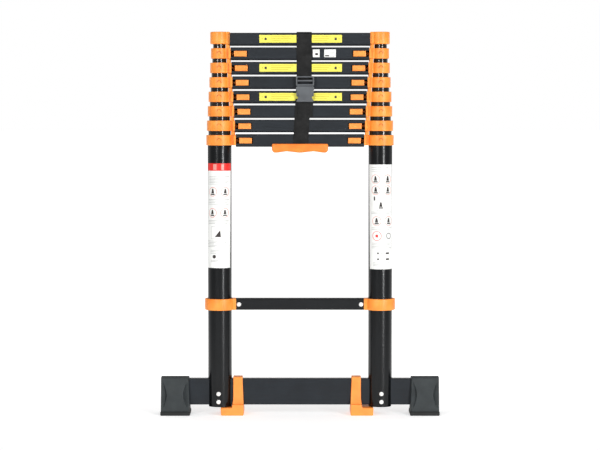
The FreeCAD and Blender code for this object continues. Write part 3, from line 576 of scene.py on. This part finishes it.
lock_orange = moulded("light_orange_moulded_nylon", "#f98e36", "#fe983e", 0.8, (0.38, 0.52))
for side, sign, shift in (("left", 1, 0), ("right", -1, 13.5)):
    start = -STILE + shift
    sole = [(start + 3, 0), (start + 55, 0), (start + 54, 26)]
    sole += [(start + 29, 26), (start + 28.2, 18), (start + 2, 18)]
    leg = [(start + 55.3, 6), (start + 52, 87.2), (start + 30.8, 87.2), (start + 30.6, 36)]
    leg += [(start + 28.6, 24), (start + 28.4, 18.4), (start + 22, 15), (start + 15, 12), (start + 15, 6)]
    if sign < 0:
        sole, leg = flipped(sole), flipped(leg)
    flare = bmesh.new()
    flare.from_mesh(slab([leg], -16.4, 16.4, 1.8, "Y"))
    for height in range(8, 66, 3):
        everything = flare.verts[:] + flare.edges[:] + flare.faces[:]
        bmesh.ops.bisect_plane(flare, geom=everything, plane_co=(0, 0, height * MM), plane_no=(0, 0, 1))
    for vertex in flare.verts:
        rise = max(0.0, min(1.0, (vertex.co.z / MM - 12) / 50))
        vertex.co.y *= 1.99 - 0.99 * rise * (2 - rise)
    leg_mesh = bpy.data.meshes.new("leg")
    flare.to_mesh(leg_mesh)
    flare.free()
    lock = together(leg_mesh, slab([rounded(sole, 2.6)], -33, 33, 2.2, "Y"))
    body = f"bar_lock_{side}"
    piece(f"moulded_lock_{side}", lock, lock_orange, body, "orange_lock", body)


# ---------------------------------------------------------------------------
# Rubber feet. One-piece boots of dark grey rubber, pushed over the ends of the
# floor bar. Each face has a waisted panel, with a sunk crescent on each side.
# ---------------------------------------------------------------------------

rubber = moulded("dark_grey_moulded_rubber", "#22282a", "#2a3032", 0.7, (0.6, 0.78), 0.06)
# Each boot stands on a separate sole slab. Its near-black is painted shade: a dark band round the foot of the
# boot, where shade falls.
sole_rubber_painted_shade = moulded("near_black_rubber_painted_foot_shade", "#0f1111", "#161919", 0.7, (0.65, 0.8), 0.06)


def boot(middle):
    """A boot's mesh, built as a front and a back relief joined by a band round its edge."""
    height = 86
    turn = 3
    lean = math.copysign(1.2, middle) / height
    rim = [0, 0.15, 0.5, 1.0, 1.6, 2.3, turn]
    across = [-1 + d / 33 for d in rim] + [s / 40 for s in range(-36, 37)] + [1 - d / 33 for d in reversed(rim)]
    upward = [2 + step * 1.3 for step in range(62)] + [height - d for d in reversed(rim)]
    rows = []
    for v in upward:
        half = 33 - 1.2 * v / height
        panel = 19 + 9.5 * min(1, abs(v - 46) / 32) ** 1.7
        row = []
        for s in across:
            u = s * half
            edge = min(half - abs(u), height - v, turn)
            inset = turn - math.sqrt(turn**2 - (turn - edge) ** 2)
            step_in = max(0.0, min(1.0, (abs(u) - panel) / 1.4))
            climb = max(0.0, min(1.0, (30 - abs(u)) / 9))
            ends = max(0.0, min(1.0, (78 - v) / 5, (v - 12) / 5))
            sunk = 5 * step_in * climb * ends
            row.append((middle + u + lean * v, 30 - 12 * v / height - inset - sunk, v))
        rows.append(row)
    front = [(x, -y, z) for row in rows for x, y, z in row]
    back = [(x, y, z) for row in rows for x, y, z in row]
    wide = len(across)
    count = len(front)
    faces = []
    for j in range(len(upward) - 1):
        for i in range(wide - 1):
            a = j * wide + i
            faces.append((a, a + 1, a + wide + 1, a + wide))
            faces.append((count + a + wide, count + a + wide + 1, count + a + 1, count + a))
    edge = [j * wide for j in range(len(upward))]
    edge += [(len(upward) - 1) * wide + i for i in range(1, wide)]
    edge += [j * wide + wide - 1 for j in range(len(upward) - 2, -1, -1)]
    for a, b in zip(edge, edge[1:]):
        faces.append((a, b, count + b, count + a))
    mesh = bpy.data.meshes.new("boot")
    mesh.from_pydata([(x * MM, y * MM, z * MM) for x, y, z in front + back], [], faces)
    return mesh


for side, sign in (("left", -1), ("right", 1)):
    middle = sign * 286
    piece(f"rubber_boot_{side}", boot(middle), rubber, "base", "rubber_foot", f"bar_foot_{side}")
    sole = slab([rounded(rectangle(middle - 34, -35, middle + 34, 35), 4)], 0, 9, 2.2, "Z")
    piece(f"rubber_sole_{side}", sole, sole_rubber_painted_shade, "base", "rubber_foot", f"bar_foot_{side}")


# ---------------------------------------------------------------------------
# Rivets and tube plugs. Domed rivets enamelled white, right through the tubes
# and the bar, and black acetal plugs in the feet of the outer tubes.
# ---------------------------------------------------------------------------

white_cap = moulded("white_enamelled_rivet", "#e9e9e6", "#f4f4f2", 0.4, (0.25, 0.35))
for node in ("bar_rivets", "mid_rung_rivets"):
    dress(node, white_cap)

# This acetal's grey is partly its own dark colour and partly painted sheen: the base colour is lifted to stand
# for the buckle's highlights.
acetal_grey_painted_sheen = moulded("dark_acetal_painted_sheen", "#4b4e52", "#565a5e", 0.5, (0.38, 0.52))
dress("stile_plugs", acetal_grey_painted_sheen)


# ---------------------------------------------------------------------------
# Buckle. A side-release buckle in black acetal. The housing's waist leaves the
# ends of the tongue's two prongs bare, so that they can be pinched.
# ---------------------------------------------------------------------------

low, high = span("buckle_housing", Z)
left, right = span("buckle_housing", X)
front, back = span("buckle_housing", Y)
middle = (left + right) / 2
half = (right - left) / 2
waist = arc((middle + half + 13.2, low + 14.5), 18.5, 221, 139, 16)
right_side = [(middle + half - 3.5, low), (middle + half - 0.8, low + 1.2)]
right_side += [point for point in waist if low + 2 < point[1] < high - 9]
right_side += [(middle + half, high - 7), (middle + half, high - 2.5), (middle + half - 2.5, high)]
left_side = [(2 * middle - u, v) for u, v in reversed(right_side)]
outer = slab([right_side + left_side], front, back, 1.8, "Y")
piece("moulded_buckle_housing", outer, acetal_grey_painted_sheen, "section_5", "buckle_plastic", "buckle_housing")

low, high = span("buckle_tongue", Z)
split = span("buckle_housing", Z)[1]
corners = rectangle(left, split + 0.6, right, high)
window = rectangle(left + 3.4, split + 4.4, right - 3.4, high - 3)[::-1]
frame_mesh = slab([rounded(corners, 2.5), rounded(window, 1.8)], front + 0.5, back - 0.5, 1.2, "Y")
bar_low = high - 12
crossbar = rectangle(left + 2, bar_low, right - 2, bar_low + 3.5)
bar_mesh = slab([crossbar], front + 3, back - 3, 1.0, "Y")
prong_meshes = []
for sign in (-1, 1):
    spine = middle + sign * (half - 5.2)
    prong = rounded(rectangle(spine - 3, low + 1, spine + 3, split + 3), 2)
    pad_low = low + 2
    thumb = spine + sign * 1.2
    grip_pad = rectangle(thumb - 3.2, pad_low, thumb + 3.2, pad_low + 13)
    prong_meshes.append(slab([prong], front + 3.5, back - 3.5, 0.8, "Y"))
    prong_meshes.append(slab([rounded(grip_pad, 2.4)], front + 2.8, back - 2.8, 1.0, "Y"))
tongue = together(frame_mesh, bar_mesh, *prong_meshes)
piece("moulded_buckle_tongue", tongue, acetal_grey_painted_sheen, "buckle_tongue", "buckle_plastic", "buckle_tongue")


# ---------------------------------------------------------------------------
# Strap. Black woven polyester webbing, 35 mm wide, in one loop round the stack
# and through the grip, with a loose tail below the buckle. It is made in
# lengths that meet where the sections part.
# ---------------------------------------------------------------------------

surface = {"Sheen_Weight": 0.05, "Specular_IOR_Level": 0.3}
webbing_black, tree, sockets = new_material("black_woven_polyester_webbing", **surface)
spot = tree.nodes.new("ShaderNodeTexCoord").outputs["Object"]
parts = tree.nodes.new("ShaderNodeSeparateXYZ")
tree.links.new(spot, parts.inputs[0])
warp_pitch = 1.3 * MM
weft_pitch = 1.7 * MM
warp = add(tree, "Math", {0: parts.outputs["X"], 1: math.pi / warp_pitch}, operation="MULTIPLY")
warp_wave = add(tree, "Math", {0: add(tree, "Math", {0: warp}, operation="SINE")}, operation="ABSOLUTE")
run = add(tree, "Math", {0: parts.outputs["Z"], 1: parts.outputs["Y"]}, operation="ADD")
weft = add(tree, "Math", {0: run, 1: math.pi / weft_pitch}, operation="MULTIPLY")
slant = add(tree, "Math", {0: weft, 1: warp}, operation="ADD")
weft_wave = add(tree, "Math", {0: add(tree, "Math", {0: slant}, operation="SINE")}, operation="ABSOLUTE")
weave = add(tree, "Math", {0: warp_wave, 1: weft_wave}, operation="MULTIPLY")
thread = add(tree, "ValToRGB", {"Fac": weave}, stops=[(0.1, linear("#030303")), (0.8, linear("#0b0b0c"))])
tree.links.new(thread, sockets["Base Color"])
worn = add(tree, "TexNoise", {"Vector": spot, "Scale": 60.0, "Detail": 3.0})
wear = {"Value": worn, "From Min": 0.3, "From Max": 0.7, "To Min": 0.55, "To Max": 0.75}
tree.links.new(add(tree, "MapRange", wear), sockets["Roughness"])
height = add(tree, "Bump", {"Strength": 0.6, "Distance": 0.25 * MM, "Height": weave})
tree.links.new(height, sockets["Normal"])

WEB_WIDTH = 34.5
WEB_THICK = 1.3


def webbing(name, path, body=None, width=WEB_WIDTH):
    """A length of webbing along a path of (x, y, z) points in mm. It has soft woven edges."""
    half = width / 2
    thick = WEB_THICK / 2
    section = [(-half + 0.5, -thick), (half - 0.5, -thick), (half - 0.1, -thick * 0.6), (half, 0)]
    section.append((half - 0.1, thick * 0.6))
    section += [(-u, -v) for u, v in section]
    spots = [Vector(point) for point in path]
    vertices = []
    for number, here in enumerate(spots):
        way = spots[min(number + 1, len(spots) - 1)] - spots[max(number - 1, 0)]
        out = Vector((0, way.z, -way.y)).normalized()
        vertices += [(here + Vector((u, 0, 0)) + out * v) * MM for u, v in section]
    count = len(section)
    faces = []
    for number in range(len(spots) - 1):
        for i in range(count):
            a = number * count + i
            b = number * count + (i + 1) % count
            faces.append((a, b, b + count, a + count))
    faces.append(tuple(range(count))[::-1])
    faces.append(tuple(range(len(vertices) - count, len(vertices))))
    mesh = bpy.data.meshes.new(name)
    mesh.from_pydata(vertices, [], faces)
    return piece(name, mesh, webbing_black, body, "webbing")


def drift(z):
    """The strap leans a little: its middle moves to the left towards the grip."""
    return 9.5 if z > 776 else 2.5 + 7 * (z - 640) / 136


def run_of(y, start, end, shift=0.0):
    """Points every 2 mm or so up or down a straight run."""
    steps = max(4, round(abs(end - start) / 2))
    heights = [start + (end - start) * step / steps for step in range(steps + 1)]
    return [(drift(z) + shift, y, z) for z in heights]


FRONT = -20.4 - WEB_THICK / 2
OUTER = FRONT - WEB_THICK - 0.15
BACK = 20.4 + WEB_THICK / 2
TAIL_SHIFT = 6.5
low, high = span("strap", Z)
under = low + WEB_THICK / 2
over = high - WEB_THICK / 2
joins_up = [812, 832, 852, 872]
upper = webbing("strap_at_tongue", run_of(FRONT, 764, 812), "section_5")
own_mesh(upper)
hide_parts("strap")
for k, (start, end) in enumerate(zip(joins_up, joins_up[1:]), start=5):
    length = webbing(f"strap_front_{k}_{k + 1}", run_of(FRONT, start, end))
    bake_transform(length)

quarter = [math.radians(angle) for angle in range(0, 91, 15)]
side = drift(over)
bend_front = [(side, FRONT + 2 - 2 * math.cos(turn), over - 2 + 2 * math.sin(turn)) for turn in quarter]
bend_back = [(side, BACK - 2 + 2 * math.sin(turn), over - 2 + 2 * math.cos(turn)) for turn in quarter]
crossing = [(side, y, over) for y in range(-16, 17, 4)]
webbing("strap_over_top", bend_front + crossing + bend_back + run_of(BACK, over - 2, 859)[1:], "section_8")
webbing("strap_at_housing", run_of(FRONT, 724, 717), "section_5")
webbing("strap_tail_at_housing", run_of(OUTER, 722, 717, TAIL_SHIFT), "section_5")
joins_down = [717, 700, 683, 666, 640]
for k, (start, end) in zip((5, 4, 3, 2), zip(joins_down, joins_down[1:])):
    length = webbing(f"strap_front_{k}_{k - 1}", run_of(FRONT, start, end))
    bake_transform(length)
    if k > 3:
        loose = webbing(f"strap_tail_{k}_{k - 1}", run_of(OUTER, start, end, TAIL_SHIFT))
        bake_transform(loose)

joins_back = [626, 659.3, 692.6, 725.9, 759.2, 792.5, 825.8, 859]
for k, (start, end) in enumerate(zip(joins_back, joins_back[1:]), start=1):
    length = webbing(f"strap_back_{k}_{k + 1}", run_of(BACK, start, end))
    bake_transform(length)

side = drift(under)
bend_front = [(side, FRONT + 2 - 2 * math.cos(turn), under + 2 - 2 * math.sin(turn)) for turn in quarter]
bend_back = [(side, BACK - 2 + 2 * math.sin(turn), under + 2 - 2 * math.cos(turn)) for turn in quarter]
crossing = [(side, y, under) for y in range(-16, 17, 4)]
path = run_of(FRONT, 640, under + 2)[:-1] + bend_front + crossing
path += bend_back + run_of(BACK, under + 2, 626)[1:]
webbing("strap_under_grip", path, "base")


# ---------------------------------------------------------------------------
# Labels. Thin printed vinyl, stuck on: yellow strips on three rungs, two white
# labels on a fourth, and a long sheet wrapped round each outer tube. Their
# print is plain bars, rings and simple shapes. Two pale blocks on the red band
# at the top of the left sheet are painted highlights.
# ---------------------------------------------------------------------------


def printed(name, colour, rough):
    material, tree, sockets = new_material(name, Metallic=0.0, Coat_Weight=0.25, Coat_Roughness=0.25)
    spot = tree.nodes.new("ShaderNodeTexCoord").outputs["Object"]
    speck_size = 0.9 * MM
    speck = add(tree, "TexNoise", {"Vector": spot, "Scale": 1 / speck_size, "Detail": 2.0})
    sockets["Base Color"].default_value = linear(colour)
    spread = {"Value": speck, "From Min": 0.3, "From Max": 0.7, "To Min": rough, "To Max": rough + 0.1}
    tree.links.new(add(tree, "MapRange", spread), sockets["Roughness"])
    return material


INKS = {
    "white": printed("white_printed_vinyl", "#f0f1ee", 0.35),
    "yellow": printed("yellow_printed_vinyl", "#ebe257", 0.35),
    "red": printed("red_screen_ink", "#e01f17", 0.4),
    "black": printed("black_screen_ink", "#2c2422", 0.4),
    "grey": printed("grey_screen_ink", "#a3a5a3", 0.4),
    "pink": printed("pale_red_screen_ink_and_painted_highlight", "#dc9188", 0.4),
    "ochre": printed("ochre_screen_ink", "#b9a92a", 0.4),
}


def block(ink, layer, left, low, right, high):
    """One inked rectangle, in mm on the flat sheet. A higher layer lies over a lower one."""
    return [(ink, layer, rectangle(left, low, right, high))]


def dot(ink, layer, u, v, radius):
    """One inked disc."""
    return [(ink, layer, arc((u, v), radius, 0, 345, 23))]


def hoop(ink, layer, u, v, radius, width):
    """A ring, as short pieces."""
    outer = arc((u, v), radius, 0, 360, 32)
    inner = arc((u, v), radius - width, 0, 360, 32)
    return [(ink, layer, [inner[i], outer[i], outer[i + 1], inner[i + 1]]) for i in range(32)]


def lines(ink, layer, left, right, top, count, pitch, thick=0.9):
    """Plain bars where small print would be. Each is a little shorter than the last."""
    bars = []
    for number in range(count):
        high = top - number * pitch
        bars += block(ink, layer, left, high - thick, right - (number % 3) * (right - left) * 0.12, high)
    return bars


def label(name, wrap, shapes, body):
    """A label's mesh: each shape is laid flat, cut into narrow strips, then wrapped on its surface."""
    flat = bmesh.new()
    inks = list(INKS)
    for ink, layer, outline in shapes:
        face = flat.faces.new([flat.verts.new((u, v, layer)) for u, v in outline])
        face.material_index = inks.index(ink)
    for cut in range(-36, 37, 2):
        everything = flat.verts[:] + flat.edges[:] + flat.faces[:]
        bmesh.ops.bisect_plane(flat, geom=everything, plane_co=(cut, 0, 0), plane_no=(1, 0, 0))
    for cut in range(-228, 0, 12):
        everything = flat.verts[:] + flat.edges[:] + flat.faces[:]
        bmesh.ops.bisect_plane(flat, geom=everything, plane_co=(0, cut, 0), plane_no=(0, 1, 0))
    for vertex in flat.verts:
        u, v, layer = vertex.co
        vertex.co = Vector(wrap(u, v, 0.14 + 0.06 * layer)) * MM
    mesh = bpy.data.meshes.new(name)
    flat.to_mesh(mesh)
    flat.free()
    for ink in inks:
        mesh.materials.append(INKS[ink])
    made = bpy.data.objects.new(name, mesh)
    scene.collection.objects.link(made)
    sheet = made.modifiers.new("thickness", "SOLIDIFY")
    sheet.thickness = 0.12 * MM
    sheet.offset = -1
    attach(made, body)
    return made


def mark(u, v, size):
    """A plain shape: a tapered block standing over a short bar."""
    low, high = v - size * 0.3, v + size * 0.65
    tapered = [(u - size * 0.34, low), (u + size * 0.34, low), (u + size * 0.14, high), (u - size * 0.14, high)]
    bar = block("black", 2, u - size * 0.45, v - size * 0.65, u + size * 0.45, low - size * 0.1)
    return [("black", 2, tapered)] + bar


for k in (4, 6, 8):
    rung_low = span(f"rung_{k}", Z)[0]
    low, high = rung_low + 6.5, rung_low + 24
    middle = (low + high) / 2
    strip = block("yellow", 0, -92.3, low, 95.3, high)
    strip += dot("ochre", 1, -86, middle, 1.3) + block("black", 1, -80.5, middle - 3.2, -75.5, middle + 2.6)
    strip += dot("ochre", 1, 89, middle, 1.3) + block("black", 1, 78.5, middle - 3.2, 83.5, middle + 2.6)
    for left, right in ((-66, -14), (30, 72)):
        strip += lines("ochre", 1, left, right, middle + 5, 3, 3.9, 1.1)
    label(f"yellow_label_{k}", lambda u, v, lift: (u, -20 - lift, v), strip, carrier(k))

rung_low = span("rung_7", Z)[0]
low, high = rung_low + 6.5, rung_low + 24
middle = (low + high) / 2
tags = block("white", 0, 29.2, low, 44.6, high) + block("white", 0, 55, low, 81.5, high)
tags += block("black", 1, 34.6, middle - 4.4, 41, middle + 0.6) + lines("grey", 1, 31, 44, high - 2.4, 2, 2.4)
tags += lines("grey", 1, 56, 81, high - 3, 5, 3.1) + block("black", 1, 57, low + 2.2, 66, low + 4.4)
label("white_labels_7", lambda u, v, lift: (u, -20 - lift, v), tags, "section_7")


def wrapped(centre, top, lean):
    """How a flat sheet goes round an outer tube, from its top down and a little off straight."""
    def spot(u, v, lift):
        turn = (u + v * lean) / TUBE
        reach = TUBE + lift
        return centre + reach * math.sin(turn), -reach * math.cos(turn), top + v
    return spot


HALF_SHEET = 33.4
SHEET_LENGTH = 239
left_sheet = block("white", 0, -HALF_SHEET, -SHEET_LENGTH, HALF_SHEET, 0)
left_sheet += block("red", 1, -HALF_SHEET, -17, HALF_SHEET, 0)
# The two pale red blocks on the red band are painted highlights, where the glossy band catches the light. The
# same ink prints the rings below.
left_sheet += block("pink", 2, -14, -15, -6, -2) + block("pink", 2, 5, -15, 11, -2)
left_sheet += lines("grey", 1, -26, 26, -30, 6, 3.4)
for row in (-65, -113):
    for column in (-14.5, 15.5):
        left_sheet += hoop("pink", 1, column, row, 10.8, 1.2) + mark(column, row, 11)
left_sheet += lines("grey", 1, -27, 0, -82, 4, 3.6) + lines("grey", 1, 8, 26, -82, 4, 3.6)
left_sheet += lines("grey", 1, -27, 0, -130, 3, 3.4) + lines("grey", 1, 10, 26, -130, 3, 3.4)
left_sheet += block("grey", 1, -17, -172.6, 11, -144) + block("white", 2, -16.4, -172, 10.4, -144.6)
left_sheet += [("black", 3, [(-7, -168), (7, -168), (5, -152)])]
left_sheet += lines("grey", 1, -30, -1, -177, 5, 3.2) + lines("grey", 1, 6, 20, -180, 2, 3.2)
left_sheet += lines("grey", 1, -19, 3, -198, 3, 3.4) + dot("black", 1, -8, -213, 4.2)
left_sheet += lines("grey", 1, -18, 2, -221, 2, 3.0)
label("outer_tube_label_left", wrapped(-STILE, 577.6, 0.019), left_sheet, "base")

right_sheet = block("white", 0, -HALF_SHEET, -SHEET_LENGTH, HALF_SHEET, 0)
right_sheet += lines("grey", 1, -24, 18, -6, 3, 4.4)
for row in (-33.5, -58.5):
    for column in (-13, 16):
        right_sheet += hoop("pink", 1, column, row, 10.8, 1.2) + mark(column, row, 11)
right_sheet += block("black", 1, -18, -82, -14.5, -73) + mark(-1.5, -93, 11)
right_sheet += block("grey", 1, -12, -106, 8, -104.8)
right_sheet += lines("grey", 1, -26, 26, -108, 2, 3.2)
for column in (-12, 17):
    right_sheet += hoop("pink", 1, column, -129, 11, 1.2) + mark(column, -129, 11)
right_sheet += lines("grey", 1, -26, 26, -144, 2, 3.4)
right_sheet += hoop("red", 1, -12, -163, 11, 1.2) + block("red", 2, -15, -166, -9, -160)
right_sheet += hoop("black", 1, 17, -163, 7, 1.4)
right_sheet += lines("grey", 1, -26, 26, -179, 4, 3.6)
for row in (-202.5, -216):
    right_sheet += block("black", 1, -12, row - 2, -8, row + 2) + block("black", 1, 8, row - 2, 17, row + 2)
    right_sheet += block("grey", 1, -4, row - 0.6, 4, row + 0.6)
right_sheet += lines("grey", 1, -22, 18, -224, 3, 3.2)
label("outer_tube_label_right", wrapped(STILE, 574.8, -0.019), right_sheet, "base")

low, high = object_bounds()
